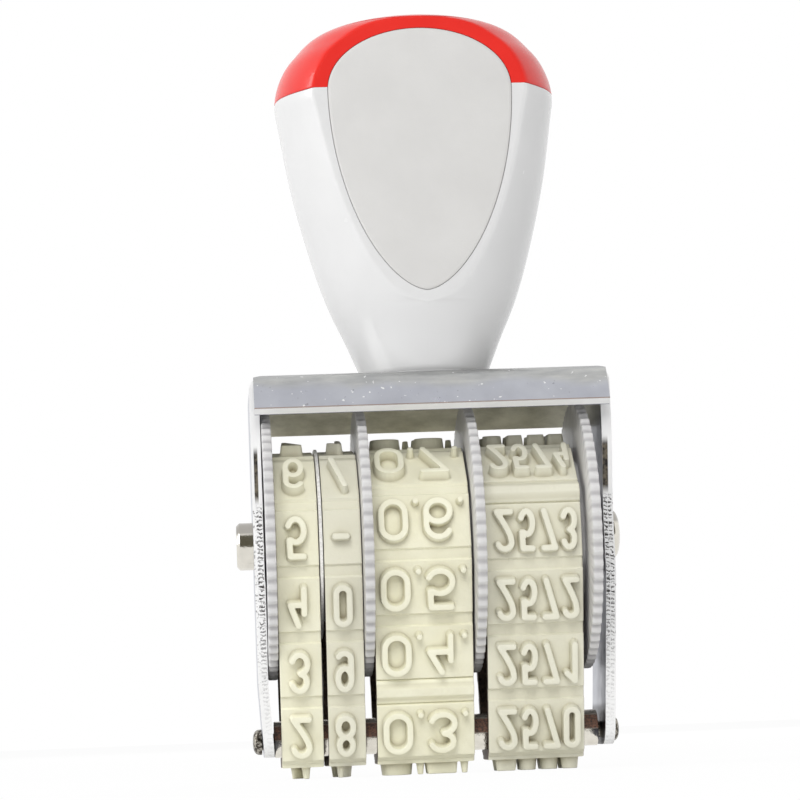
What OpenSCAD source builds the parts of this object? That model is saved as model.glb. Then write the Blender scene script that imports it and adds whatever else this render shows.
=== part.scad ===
// Band date stamp: a pressed steel frame, four thumb wheels on one axle, four rubber
// bands that run from the wheels down over a platen bar, and a two-colour bulb handle.
// The origin is the centre of the print face. X runs along the axle, Y to the back, Z up.

/* [Bands] */
// Length of one pad with its groove, along the band
pad_pitch = 7.3; // [6.8:0.1:8.8]
// Width of the groove between two pads
groove_w = 1.3; // [0.8:0.1:1.8]
// Depth of the groove below the pad's face
groove_d = 0.35; // [0.1:0.05:0.5]
// Thickness of a band at its pads
band_t = 1.15; // [0.9:0.05:1.5]
// Height of the pad's face above the line on which the band bends
pad_crown = 0.1; // [0:0.05:0.2]
// Length that the join of a band's two ends adds between two pads
splice_len = 1.5; // [1:0.1:3]
// Height of that bar above the pad's face
splice_rise = 0.45; // [0.2:0.05:0.8]
// Width of the band with the tens of the day
tens_w = 4.6; // [3.8:0.1:6]
// Width of the band with the units of the day
units_w = 4.1; // [3.6:0.1:6]
// Width of the month band
month_w = 10.7; // [10:0.1:13]
// Width of the year band
year_w = 10.6; // [9.6:0.1:13]

/* [Characters] */
// Height of the characters above the pad
relief = 1.25; // [0.8:0.05:1.6]
// Length of a character along the band, at its printing face
type_h = 4.65; // [3.8:0.05:5]
// How much wider a character is at its root, on each flank
type_flare = 0.3; // [0.05:0.05:0.4]
// Width of a figure on the band with the tens of the day
tens_type_w = 2.4; // [1.8:0.1:3]
// Width of a figure on the band with the units of the day
units_type_w = 2.1; // [1.8:0.1:3]
// Width of a figure of the month
month_type_w = 3.2; // [2.6:0.1:3.5]
// Distance from the first figure of the month to the second
month_step = 4.9; // [4.6:0.1:5.1]
// Width of the dots beside the month
dot_w = 0.8; // [0.6:0.1:0.9]
// Gap between a dot and the figure beside it
dot_gap = 0.5; // [0.3:0.1:0.6]
// Width of a figure of the year
year_type_w = 1.95; // [1.6:0.05:2.1]
// Distance from one figure of the year to the next
year_step = 2.33; // [2.2:0.01:2.4]

/* [Wheels] */
// Outer radius of a thumb wheel
wheel_r = 15; // [13.5:0.1:18]
// Thickness of a thumb wheel's rim
rim_t = 1.05; // [0.8:0.05:1.6]
// Number of grip notches round a rim
notches = 66; // [40:1:80]
// Depth of a grip notch
notch_d = 0.32; // [0.1:0.02:0.5]
// Radius of the cutter that shapes a grip notch
notch_r = 0.75; // [0.5:0.05:1]
// Running gap between a drum and the inside of its band
drum_gap = 0.35; // [0.3:0.05:0.6]
// Outer radius of the thin disc between the two day bands
divider_r = 10.6; // [9:0.1:12]
// Thickness of that disc
divider_t = 0.35; // [0.3:0.05:0.6]

/* [Axle] */
// Diameter of the axle
axle_d = 5.3; // [4.2:0.1:6.4]
// Diameter of the axle's riveted end
tenon_d = 4; // [2.5:0.1:4]
// Length of the free end outside the left leg
stub_len = 1.85; // [0.8:0.05:3]
// Height of the riveted head outside the right leg
rivet_rise = 1.3; // [0.6:0.05:1.6]
// Diameter of that head
rivet_d = 5.6; // [5.2:0.1:7]
// Radial gap between the axle and what turns on it
run_clear = 0.05; // [0.02:0.01:0.1]
// Gap between neighbours along the axle
side_gap = 0.1; // [0.05:0.01:0.2]
// Gap on each side of the month wheel's rim
month_gap = 0.25; // [0.1:0.05:0.5]
// Gap between the year band and the rim of its wheel
year_gap = 0.6; // [0.2:0.05:1]
// Thickness of the spacer ring
spacer_t = 0.9; // [0.5:0.05:2]
// Thickness of the spring washer's steel
spring_t = 0.2; // [0.15:0.05:0.3]
// Height of the spring washer from edge to edge
spring_h = 0.4; // [0.35:0.05:0.6]
// Width of the spring washer's ring
spring_w = 1.9; // [1.2:0.1:2.6]

/* [Frame] */
// Thickness of the frame's sheet steel
sheet_t = 1.1; // [0.8:0.02:1.5]
// Height of the top plate above the wheels
head_gap = 3.2; // [2.8:0.1:6]
// Half the depth of the flat top plate
top_half = 7.6; // [7.6:0.1:10]
// Length of the splayed lips
lip_len = 3.8; // [3:0.1:4.5]
// Angle of the front lip from upright
lip_tilt = 31; // [12:1:40]
// Angle of the back lip from upright
back_tilt = 24; // [12:1:40]
// Inside radius of the bends
bend_in = 0.5; // [0.3:0.05:1]
// Depth of the legs at the axle, front to back
leg_depth = 10.8; // [9:0.1:14]
// Depth of the legs below the top plate
leg_top_depth = 14.8; // [12:0.1:15]
// Height of the legs' lower ends above the print face
leg_foot_z = 2.5; // [1.8:0.1:3]
// How far the left leg's lower end leans in
leg_lean = 0.45; // [0:0.05:0.8]
// How far the right leg's lower end leans in
right_lean = 1; // [0:0.05:1.1]
// Radius of the lower ends' corners
foot_round = 2; // [0.5:0.1:3]
// Gap between the ends of the lips and the outer face of the legs
lip_inset = 0.5; // [0.2:0.1:1]

/* [Platen] */
// Depth of the platen bar, front to back
platen_depth = 6; // [4.5:0.1:6.2]
// Height of the platen bar
platen_h = 4; // [3.6:0.1:5]
// Radius of the bar's two lower edges
platen_round = 1.6; // [0.8:0.1:1.7]
// Radius of the bar's two upper edges
platen_edge = 1.9; // [0.5:0.1:2]
// Gap between the bar's right end and the right leg
platen_gap = 0.35; // [0.1:0.05:1.2]
// Diameter of the rod through the bar
rod_d = 1.8; // [1.2:0.1:2]
// Diameter of the rod's heads
rod_head_d = 2.8; // [2.4:0.1:3.2]
// Height of the rod's heads
rod_head_h = 0.9; // [0.5:0.1:1.2]

/* [Handle] */
// Height of the handle above the top plate
handle_h = 41.6; // [38:0.1:52]
// Largest radius of the handle
handle_r = 15.9; // [14.5:0.1:19]
// Radius of the handle's neck at the top plate
neck_r = 7; // [5.5:0.1:8.5]
// Distance of the flat faces from the handle's axis
facet_y = 10.4; // [9.6:0.1:10.6]
// Height of the joint between body and cap, as a share of the handle's height
seam_share = 0.768; // [0.76:0.001:0.79]
// Thickness of the plate in the front face
plate_t = 1; // [0.6:0.1:1.6]
// Half width of the plate
plate_half = 10.2; // [8.5:0.1:10.2]
// Height of the plate's widest place, as a share of the handle's height
plate_share = 0.752; // [0.74:0.001:0.76]
// Height of the plate above its widest place
plate_up = 6.8; // [5:0.1:6.9]
// Height of the plate below its widest place
plate_down = 22.6; // [18:0.1:22.6]
// Gap round the plate and inside the cap
fit_gap = 0.06; // [0.04:0.01:0.15]
// Wall of the cap
cap_wall = 2; // [1.2:0.1:3]
// Height of the body's spigot inside the cap
spigot_h = 3; // [2:0.1:4]
// Diameter of the handle screw
screw_d = 3; // [2.5:0.1:4]
// Diameter of the screw's head
screw_head_d = 5.6; // [5:0.1:6]
// Height of the screw's head
screw_head_h = 1.6; // [1.2:0.1:1.8]
// Length of the screw above the top plate
screw_reach = 12; // [8:0.5:18]
// Thickness of the washer under the screw's head
washer_t = 0.5; // [0.3:0.05:0.8]

/* [Hidden] */

round_fn = 96;
small_fn = 48;
notch_fn = 24;

// Overlap of shapes that are one body, reach of a cutter past the surface it cuts,
// and the gap between bodies that rest on each other.
eps = 0.01;
past = 1;
seat = 0.02;

// The band bends on a nine-sided drum and lies straight between drum and platen.
drum_sides = 9;
run_pads = 3;
drum_step = 360 / drum_sides;
chord_r = pad_pitch / (2 * sin(drum_step / 2));
line_apothem = chord_r * cos(drum_step / 2);
hinge_z = relief + pad_crown;
run_dy = line_apothem - pad_pitch / 2;
run_dz = sqrt(pow(run_pads * pad_pitch, 2) - pow(run_dy, 2));
axle_z = hinge_z + run_dz + pad_pitch / 2;
hinge_front = [-pad_pitch / 2, hinge_z];
hinge_back = [pad_pitch / 2, hinge_z];
hinge_span = norm([pad_pitch / 2, axle_z - hinge_z]);
band_inner = band_t - pad_crown;
pad_half = (pad_pitch - groove_w) / 2;

// The bar over the join fills the space between two pads and tapers a little.
splice_lap = 0.05;
splice_taper = 0.25;
splice_half = (splice_len + groove_w) / 2 + splice_lap;

// The drum's nine flats stand back from the circle, so that its corners are round.
drum_r = line_apothem - band_inner - drum_gap;
drum_flat = 0.965 * drum_r;

// Places along the axle, from the left leg's inner face to the right one's.
bands_w = tens_w + units_w + month_w + year_w;
gaps_w = 8 * side_gap + 2 * month_gap + year_gap;
inner_w = bands_w + gaps_w + 4 * rim_t + divider_t + spacer_t + spring_h;
frame_w = inner_w + 2 * sheet_t;
wheel_1_x = -inner_w / 2 + side_gap;
band_1_x = wheel_1_x + rim_t + side_gap;
divider_x = band_1_x + tens_w + side_gap;
band_2_x = divider_x + divider_t + side_gap;
wheel_2_x = band_2_x + units_w + side_gap;
band_3_x = wheel_2_x + rim_t + side_gap;
wheel_3_x = band_3_x + month_w + month_gap;
band_4_x = wheel_3_x + rim_t + month_gap;
wheel_4_x = band_4_x + year_w + year_gap;
spacer_x = wheel_4_x + rim_t + side_gap;
spring_x = spacer_x + spacer_t + side_gap / 2;

// Heights of the frame and the platen. The left leg starts to lean in below the wheels,
// the right one just below the spring washer.
top_z = axle_z + wheel_r + head_gap;
bend_out = bend_in + sheet_t;
left_knee_z = axle_z - wheel_r - 3 * side_gap;
right_knee_z = axle_z - axle_d / 2 - spring_w - 2 * side_gap;
platen_z = relief + band_t;
rod_z = platen_z + 0.45 * platen_h;

// Distance of a leg's outer face from the middle, at a height below its knee.
function leg_face(z, knee, lean) = frame_w / 2 - lean * (knee - z) / (knee - leg_foot_z);
function left_face(z) = leg_face(z, left_knee_z, leg_lean);
function right_face(z) = leg_face(z, right_knee_z, right_lean);

platen_left = left_face(platen_z) - sheet_t - side_gap / 2;
platen_right = right_face(platen_z) - sheet_t - platen_gap;

// Line on which a band bends, as [y, z] points that start at the platen's front edge.
function total(v, n) = n <= 0 ? 0 : v[n - 1] + total(v, n - 1);
function chord_turn(s) = 2 * asin(s / (2 * chord_r));
function turned(a, v, n) = n <= 0 ? a : chord_turn(v[n - 1]) + turned(a, v, n - 1);
function on_drum(a) = [-chord_r * cos(a), axle_z + chord_r * sin(a)];
function first_turn(s) =
    acos((pow(hinge_span, 2) + pow(chord_r, 2) - pow(s, 2)) / (2 * hinge_span * chord_r))
    - atan2(axle_z - hinge_z, pad_pitch / 2);
function along(p, q, v, i) = p + (q - p) * total(v, i) / total(v, len(v));
function band_line(front, drum, back) =
    let (start = first_turn(total(front, len(front))),
         last = on_drum(turned(start, drum, len(drum))))
    concat(
        [for (i = [0:len(front) - 1]) along(hinge_front, on_drum(start), front, i)],
        [for (i = [0:len(drum) - 1]) on_drum(turned(start, drum, i))],
        [for (i = [0:len(back) - 1]) along(last, hinge_back, back, i)],
        [hinge_back]
    );

function outward(p, q) = [p[1] - q[1], q[0] - p[0]] / norm(q - p);
function shifted(line, t) = [
    for (i = [0:len(line) - 1])
        let (n = len(line),
             a = outward(line[(i + n - 1) % n], line[i]),
             b = outward(line[i], line[(i + 1) % n]))
        line[i] + t * (a + b) / (1 + a * b)
];

// Lays a [y, z] shape across the stamp, from x0 over a width w.
module across(x0, w) {
    translate([x0, 0, 0])
        rotate([90, 0, 90])
            linear_extrude(height = w)
                children();
}

// Lays an [x, z] shape through the stamp, centred front to back.
module through(depth) {
    translate([0, depth / 2, 0])
        rotate([90, 0, 0])
            linear_extrude(height = depth)
                children();
}

// A round bar along the axle's direction.
module bar(x0, x1, d, z) {
    translate([x0, 0, z])
        rotate([0, 90, 0])
            cylinder(h = x1 - x0, d = d, $fn = round_fn);
}

// Profile of a domed rivet head from edge to top, as [radius, height].
function dome(r, h, edge) = [
    for (a = [0:18:90])
        [r * cos(a), edge + (h - edge) * sin(a)]
];

// One block on segment i of a band's line, from depth low to depth high.
module on_segment(line, i, low, high, half_low, half_high, shift) {
    p = line[i];
    q = line[(i + 1) % len(line)];
    d = (q - p) / norm(q - p);
    n = outward(p, q);
    c = (p + q) / 2 + d * shift;
    polygon([
        c - d * half_low + n * low, c + d * half_low + n * low,
        c + d * half_high + n * high, c - d * half_high + n * high
    ]);
}

// A band: web, pads, splice bar, and one raised block for each character.
// Each column is [left, width, length, shift along the band].
module band(x0, w, front, drum, back, columns) {
    line = band_line(front, drum, back);
    kinds = concat(front, drum, back, [pad_pitch]);
    across(x0, w) {
        difference() {
            polygon(shifted(line, pad_crown - groove_d));
            polygon(shifted(line, -band_inner));
        }
        for (i = [0:len(kinds) - 1])
            if (kinds[i] == pad_pitch)
                on_segment(line, i, -band_inner / 2, pad_crown, pad_half, pad_half, 0);
            else
                on_segment(line, i, -band_inner / 2, pad_crown + splice_rise,
                    splice_half, splice_half - splice_taper, 0);
    }
    for (c = columns)
        across(x0 + c[0], c[1])
            for (i = [0:len(kinds) - 1])
                if (kinds[i] == pad_pitch)
                    on_segment(line, i, pad_crown - groove_d, pad_crown + relief,
                        c[2] / 2 + type_flare, c[2] / 2, c[3]);
}

pad = pad_pitch;
run = [pad, pad, pad];
wrap = [pad, pad, pad, pad, pad];

// Columns of characters. A dot stands beside the foot of each figure of the month.
tens_columns = [[(tens_w - tens_type_w) / 2, tens_type_w, type_h, 0]];
units_columns = [[(units_w - units_type_w) / 2, units_type_w, type_h, 0]];
dot_left = month_type_w + dot_gap;
dot_up = (type_h - dot_w) / 2;
month_left = (month_w - month_step - dot_left - dot_w) / 2;
month_columns = [
    [month_left, month_type_w, type_h, 0],
    [month_left + month_step, month_type_w, type_h, 0],
    [month_left + dot_left, dot_w, dot_w, dot_up],
    [month_left + month_step + dot_left, dot_w, dot_w, dot_up]
];
year_left = (year_w - 3 * year_step - year_type_w) / 2;
year_columns = [
    for (i = [0:3])
        [year_left + i * year_step, year_type_w, type_h, 0]
];

module band_day_tens() {
    color("ivory")
        band(band_1_x, tens_w, run, wrap, concat(run, [splice_len]), tens_columns);
}

module band_day_units() {
    color("ivory")
        band(band_2_x, units_w, run, wrap, concat([splice_len], run), units_columns);
}

module band_month() {
    color("ivory")
        band(band_3_x, month_w, [pad, splice_len, pad, pad], wrap, run, month_columns);
}

module band_year() {
    color("ivory")
        band(band_4_x, year_w, run, [pad, splice_len, pad, pad, pad, pad], run, year_columns);
}

// A thumb wheel: notched rim and nine-sided drum in one moulding.
module thumb_wheel(rim_x, drum_x, drum_w) {
    color("lavender")
        translate([0, 0, axle_z])
            difference() {
                union() {
                    across(rim_x, rim_t)
                        difference() {
                            circle(r = wheel_r, $fn = round_fn);
                            for (i = [0:notches - 1])
                                rotate(i * 360 / notches)
                                    translate([wheel_r + notch_r - notch_d, 0])
                                        circle(r = notch_r, $fn = notch_fn);
                        }
                    across(drum_x, drum_w)
                        intersection() {
                            circle(r = drum_r, $fn = round_fn);
                            rotate(180)
                                circle(r = drum_flat / cos(drum_step / 2), $fn = drum_sides);
                        }
                }
                bar(-frame_w, frame_w, axle_d + 2 * run_clear, 0);
            }
}

module wheel_day_tens() {
    start = wheel_1_x + rim_t - eps;
    thumb_wheel(wheel_1_x, start, divider_x - side_gap - start);
}

module wheel_day_units() {
    start = divider_x + divider_t + side_gap;
    thumb_wheel(wheel_2_x, start, wheel_2_x + eps - start);
}

module wheel_month() {
    start = wheel_2_x + rim_t + side_gap;
    thumb_wheel(wheel_3_x, start, wheel_3_x + eps - start);
}

module wheel_year() {
    start = wheel_3_x + rim_t + side_gap;
    thumb_wheel(wheel_4_x, start, wheel_4_x + eps - start);
}

module divider_disc() {
    color("silver")
        difference() {
            bar(divider_x, divider_x + divider_t, 2 * divider_r, axle_z);
            bar(divider_x - past, divider_x + past, axle_d + 2 * run_clear, axle_z);
        }
}

module spacer_ring() {
    ring_w = 1.5;
    color("gainsboro")
        difference() {
            bar(spacer_x, spacer_x + spacer_t, axle_d + 2 * ring_w, axle_z);
            bar(spacer_x - past, spacer_x + spacer_t + past, axle_d + 2 * run_clear, axle_z);
        }
}

// Coned steel washer that keeps the wheels from turning by themselves.
module spring_washer() {
    inside = axle_d / 2 + run_clear;
    color("slategray")
        translate([spring_x, 0, axle_z])
            rotate([0, 90, 0])
                rotate_extrude($fn = round_fn)
                    polygon([
                        [inside, 0], [inside, spring_t],
                        [inside + spring_w, spring_h], [inside + spring_w, spring_h - spring_t]
                    ]);
}

// Axle with a chamfered free end on the left and a riveted head on the right.
module axle() {
    left = -frame_w / 2 - stub_len;
    shoulder = inner_w / 2 - seat;
    right = frame_w / 2;
    chamfer = 0.35;
    rim = 0.2;
    r = axle_d / 2;
    color("silver")
        translate([0, 0, axle_z])
            rotate([0, 90, 0])
                rotate_extrude($fn = round_fn)
                    polygon(concat(
                        [[0, left], [r - chamfer, left], [r, left + chamfer], [r, shoulder]],
                        [[tenon_d / 2, shoulder], [tenon_d / 2, right + seat]],
                        [[rivet_d / 2, right + seat]],
                        [for (p = dome(rivet_d / 2, rivet_rise, rim)) p + [0, right]]
                    ));
}

// Bend and splayed lip along one side of the top plate, as a [y, z] shape.
module lip(tilt) {
    turn = 90 - tilt;
    reach = 3 * bend_out;
    translate([-top_half, top_z - sheet_t])
        square([top_half - leg_top_depth / 2 + eps, sheet_t]);
    translate([-top_half, top_z - bend_out]) {
        intersection() {
            difference() {
                circle(r = bend_out, $fn = small_fn);
                circle(r = bend_in, $fn = small_fn);
            }
            polygon([
                [0, 0], [0, reach], [-reach, reach],
                [-reach * sin(turn), reach * cos(turn)]
            ]);
        }
        rotate(turn)
            translate([-lip_len, bend_in])
                square([lip_len, sheet_t]);
    }
}

// Outline that clips the upper corners of the lips, as an [x, z] shape.
module lip_ends(half, low) {
    clip_w = 0.9;
    clip_h = 0.25;
    polygon([
        [-half, low], [half, low], [half, top_z - clip_h], [half - clip_w, top_z],
        [clip_w - half, top_z], [-half, top_z - clip_h]
    ]);
}

// Half of the U that the top plate and a leg make, as an [x, z] shape.
module leg_half(knee_z, lean) {
    w = frame_w / 2;
    translate([-eps, top_z - sheet_t])
        square([w - bend_out + eps, sheet_t]);
    translate([w - bend_out, top_z - bend_out])
        difference() {
            intersection() {
                circle(r = bend_out, $fn = small_fn);
                square(2 * bend_out);
            }
            circle(r = bend_in, $fn = small_fn);
        }
    polygon([
        [w - sheet_t, top_z - bend_out], [w, top_z - bend_out], [w, knee_z],
        [w - lean, leg_foot_z], [w - lean - sheet_t, leg_foot_z],
        [w - sheet_t, knee_z]
    ]);
}

// Side view of a leg: deep below the top plate, narrower from the axle down.
module leg_outline() {
    steps = 8;
    waist_z = axle_z + 1;
    wide_z = top_z - 5.5;
    wide = leg_top_depth / 2;
    slim = leg_depth / 2;
    function ease(k) = k * k * (3 - 2 * k);
    side = [
        for (k = [0:steps])
            [slim + (wide - slim) * ease(k / steps),
             waist_z + (wide_z - waist_z) * k / steps]
    ];
    polygon(concat(
        [[slim, leg_foot_z + foot_round]], side, [[wide, top_z + past]],
        [[-wide, top_z + past]],
        [for (k = [steps:-1:0]) [-side[k][0], side[k][1]]],
        [[-slim, leg_foot_z + foot_round]]
    ));
    translate([foot_round - slim, leg_foot_z])
        square([2 * (slim - foot_round), 2 * foot_round]);
    for (y = [foot_round - slim, slim - foot_round])
        translate([y, leg_foot_z + foot_round])
            circle(r = foot_round, $fn = small_fn);
}

module frame() {
    half = frame_w / 2;
    color("lightsteelblue")
        difference() {
            union() {
                intersection() {
                    across(-half, frame_w) {
                        lip(lip_tilt);
                        mirror([1, 0])
                            lip(back_tilt);
                    }
                    through(2 * (top_half + bend_out + lip_len))
                        lip_ends(half - lip_inset, axle_z);
                }
                intersection() {
                    through(leg_top_depth + 2 * past) {
                        leg_half(right_knee_z, right_lean);
                        mirror([1, 0])
                            leg_half(left_knee_z, leg_lean);
                    }
                    across(-half - past, frame_w + 2 * past)
                        leg_outline();
                }
            }
            bar(-half - past, 0, axle_d + 2 * seat, axle_z);
            bar(0, half + past, tenon_d + 2 * seat, axle_z);
            bar(-half - past, half + past, rod_d + 2 * seat, rod_z);
            translate([0, 0, top_z - 2 * sheet_t])
                cylinder(h = 3 * sheet_t, d = screw_d + 2 * side_gap, $fn = small_fn);
        }
}

// Solid bar that backs the bands while they print, as a [y, z] shape and as a body.
module platen_side() {
    half = platen_depth / 2;
    translate([-half, platen_z + platen_round])
        square([platen_depth, platen_h - platen_round - platen_edge]);
    translate([platen_round - half, platen_z])
        square([platen_depth - 2 * platen_round, platen_h - platen_edge]);
    translate([platen_edge - half, platen_z + platen_round])
        square([platen_depth - 2 * platen_edge, platen_h - platen_round]);
    for (side = [-1, 1]) {
        translate([side * (half - platen_round), platen_z + platen_round])
            circle(r = platen_round, $fn = small_fn);
        translate([side * (half - platen_edge), platen_z + platen_h - platen_edge])
            circle(r = platen_edge, $fn = small_fn);
    }
}

module platen_bar() {
    color("silver")
        difference() {
            across(-platen_left, platen_left + platen_right)
                platen_side();
            bar(-frame_w, frame_w, rod_d + 2 * seat, rod_z);
        }
}

// Rod through both legs and the bar, with a domed head outside each leg.
module platen_rod() {
    left = -left_face(rod_z + rod_head_d / 2) - seat;
    right = right_face(rod_z + rod_head_d / 2) + seat;
    r = rod_d / 2;
    rim = 0.15;
    head = dome(rod_head_d / 2, rod_head_h, rim);
    last = len(head) - 1;
    color("darkgray")
        translate([0, 0, rod_z])
            rotate([0, 90, 0])
                rotate_extrude($fn = small_fn)
                    polygon(concat(
                        [for (k = [last:-1:0]) [head[k][0], left - head[k][1]]],
                        [[rod_head_d / 2, left], [r, left], [r, right]],
                        [[rod_head_d / 2, right]],
                        [for (p = head) p + [0, right]]
                    ));
}

// Points on a smooth curve through a list of points, k steps for each stretch.
function curve_at(a, b, c, d, t) =
    0.5 * (2 * b + (c - a) * t + (2 * a - 5 * b + 4 * c - d) * t * t
        + (3 * b - a - 3 * c + d) * t * t * t);
function smooth(p, k) = [
    for (i = [0:len(p) - 2], j = [0:k - 1])
        curve_at(p[max(i - 1, 0)], p[i], p[i + 1], p[min(i + 2, len(p) - 1)], j / k),
    p[len(p) - 1]
];

// Profile of the bulb, as [radius, height above the top plate].
// Heights are shares of handle_h, radii run from neck_r to handle_r.
function swell(share) = neck_r + (handle_r - neck_r) * share;
bulb_side = [
    [neck_r, 0], [swell(0.2), handle_h * 0.104], [swell(0.43), handle_h * 0.217],
    [swell(0.64), handle_h * 0.361], [swell(0.83), handle_h * 0.53],
    [swell(0.955), handle_h * 0.69], [swell(1), handle_h * 0.765],
    [swell(0.93), handle_h * 0.83], [swell(0.77), handle_h * 0.885],
    [swell(0.43), handle_h * 0.947], [neck_r * 0.62, handle_h * 0.988], [0, handle_h]
];
curve_steps = 4;

module bulb() {
    intersection() {
        rotate_extrude($fn = round_fn)
            polygon(concat(smooth(bulb_side, curve_steps), [[0, 0]]));
        translate([-handle_r, -facet_y, -past])
            cube([2 * handle_r, 2 * facet_y, handle_h + 2 * past]);
    }
}

// Heights in the handle, above the top plate.
seam_h = seam_share * handle_h;
plate_mid_h = plate_share * handle_h;

// Outline of the front plate, grown by g, as an [x, z] shape: half an ellipse above,
// and sides below that draw in to a blunt tip.
tip_power = 1.95;
side_power = 0.6;
outline_steps = 20;
module plate_outline(g) {
    n = outline_steps;
    hw = plate_half + g;
    function low(t) = hw * pow(1 - pow(t, tip_power), side_power);
    upper = [for (k = [0:n]) [hw * cos(k * 180 / n), (plate_up + g) * sin(k * 180 / n)]];
    lower = [for (k = [1:n]) let (t = sin(k * 90 / n)) [-low(t), -(plate_down + g) * t]];
    back = [for (k = [n - 1:-1:1]) let (t = sin(k * 90 / n)) [low(t), -(plate_down + g) * t]];
    translate([0, plate_mid_h])
        polygon(concat(upper, lower, back));
}

module plate_block(g, y0, y1) {
    translate([0, y1, 0])
        rotate([90, 0, 0])
            linear_extrude(height = y1 - y0)
                plate_outline(g);
}

// Spigot of the body inside the cap. The cap narrows towards the spigot's upper end.
module spigot(gap) {
    root = 1;
    cap_draw = 1;
    translate([0, 0, seam_h - root])
        linear_extrude(height = root + spigot_h + gap)
            intersection() {
                circle(r = handle_r - cap_wall - cap_draw + gap, $fn = round_fn);
                square([4 * handle_r, 2 * (facet_y - plate_t - cap_wall + gap)], center = true);
            }
}

module handle_body() {
    color("whitesmoke")
        translate([0, 0, top_z])
            difference() {
                union() {
                    intersection() {
                        bulb();
                        translate([0, 0, seam_h / 2])
                            cube([4 * handle_r, 4 * handle_r, seam_h], center = true);
                    }
                    spigot(0);
                }
                plate_block(fit_gap, -2 * facet_y, plate_t - facet_y);
                translate([0, 0, -past])
                    cylinder(h = past + screw_reach + 2, d = screw_d + 2 * seat, $fn = small_fn);
            }
}

module handle_cap() {
    color("red")
        translate([0, 0, top_z])
            difference() {
                intersection() {
                    bulb();
                    translate([-2 * handle_r, -2 * handle_r, seam_h + seat])
                        cube([4 * handle_r, 4 * handle_r, handle_h]);
                }
                spigot(fit_gap);
                plate_block(fit_gap, -2 * facet_y, plate_t - facet_y);
            }
}

module front_plate() {
    color("lightgray")
        translate([0, 0, top_z])
            plate_block(0, -facet_y, plate_t - facet_y - seat);
}

// Handle screw with a cross slot, seen from below.
module handle_screw() {
    under = top_z - sheet_t - washer_t;
    slot_l = 3;
    slot_w = 0.6;
    slot_d = 0.9;
    color("silver")
        difference() {
            union() {
                translate([0, 0, under - screw_head_h])
                    cylinder(h = screw_head_h, d = screw_head_d, $fn = small_fn);
                translate([0, 0, under - eps])
                    cylinder(h = sheet_t + washer_t + screw_reach, d = screw_d, $fn = small_fn);
            }
            for (a = [0, 90])
                translate([0, 0, under - screw_head_h])
                    rotate(a)
                        cube([slot_l, slot_w, 2 * slot_d], center = true);
        }
}

module screw_washer() {
    ring_w = 0.5;
    color("darkgray")
        translate([0, 0, top_z - sheet_t - washer_t + seat / 2])
            difference() {
                cylinder(h = washer_t - seat, d = screw_head_d + 2 * ring_w, $fn = small_fn);
                translate([0, 0, -past])
                    cylinder(h = washer_t + 2 * past, d = screw_d + 2 * side_gap, $fn = small_fn);
            }
}

frame();
handle_body();
handle_cap();
front_plate();
handle_screw();
screw_washer();
axle();
divider_disc();
spacer_ring();
spring_washer();
wheel_day_tens();
wheel_day_units();
wheel_month();
wheel_year();
band_day_tens();
band_day_units();
band_month();
band_year();
platen_bar();
platen_rod();
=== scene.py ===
"""Looks of the band date stamp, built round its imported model.

Shapes are worked out in millimetres in the model's frame and scaled to metres in mesh_of().
"""
from math import acos, asin, atan2, cos, exp, pi, radians, sin, sqrt

import bmesh
import bpy
import numpy as np
from mathutils import Matrix, Vector


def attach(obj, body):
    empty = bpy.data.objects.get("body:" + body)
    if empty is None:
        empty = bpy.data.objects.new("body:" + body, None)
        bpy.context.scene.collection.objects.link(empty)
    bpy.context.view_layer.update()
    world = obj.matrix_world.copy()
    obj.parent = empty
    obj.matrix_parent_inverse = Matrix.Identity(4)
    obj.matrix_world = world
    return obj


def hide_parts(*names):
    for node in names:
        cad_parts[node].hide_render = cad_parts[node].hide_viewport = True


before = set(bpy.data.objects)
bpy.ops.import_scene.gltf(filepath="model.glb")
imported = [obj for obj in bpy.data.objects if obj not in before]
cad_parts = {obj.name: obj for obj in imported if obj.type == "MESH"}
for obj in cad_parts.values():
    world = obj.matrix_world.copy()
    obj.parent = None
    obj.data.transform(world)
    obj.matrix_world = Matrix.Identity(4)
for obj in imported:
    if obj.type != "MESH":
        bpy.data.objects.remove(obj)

scene = bpy.context.scene
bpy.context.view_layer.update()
MM = 0.001
ROOT = "stamp_frame"

# ---- sizes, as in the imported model
PITCH, GROOVE, GROOVE_D = 7.3, 1.3, 0.35
BAND_T, CROWN, RELIEF, TYPE_H = 1.15, 0.1, 1.25, 4.65
SPLICE_LEN, SPLICE_RISE = 1.5, 0.45
SIDES, RUN = 9, 3  # a drum's flats, and the pads on a straight run
CHORD_R = PITCH / (2 * sin(pi / SIDES))
APOTHEM = CHORD_R * cos(pi / SIDES)
HINGE_Z = RELIEF + CROWN
AXLE_Z = HINGE_Z + sqrt((RUN * PITCH) ** 2 - (APOTHEM - PITCH / 2) ** 2) + PITCH / 2
INNER = BAND_T - CROWN  # from the line of bending to a band's inner side
DRUM_GAP, TOP_GAP, BORE_R = 0.35, 3.2, 2.7
DRUM_R = APOTHEM - INNER - DRUM_GAP
WHEEL_R, RIM_T, NOTCHES = 15.0, 1.05, 66
INNER_W, SHEET = 37.75, 1.1
HALF_W = INNER_W / 2 + SHEET
TOP_Z = AXLE_Z + WHEEL_R + TOP_GAP
FOOT_Z, LEG_TOP, LEG_LOW, BEND = 2.5, 14.8, 10.8, 0.5
OUT_R = BEND + SHEET  # outer radius of a bend in the sheet
LEFT = (AXLE_Z - WHEEL_R - 0.3, 0.45)  # a leg's knee height, and its lean below the knee
RIGHT = (AXLE_Z - 4.75, 1.0)
LIP_START, LIP_LEN, LIP_TILT, BACK_TILT, LIP_END = 7.6, 3.8, 31, 24, HALF_W - 0.5
LIP_LOW = TOP_Z - BEND - SHEET + OUT_R * sin(radians(LIP_TILT)) \
    - LIP_LEN * cos(radians(LIP_TILT))
PLATEN_Z, PLATEN_H, PLATEN_D = 2.4, 4.0, 6.0
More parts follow.
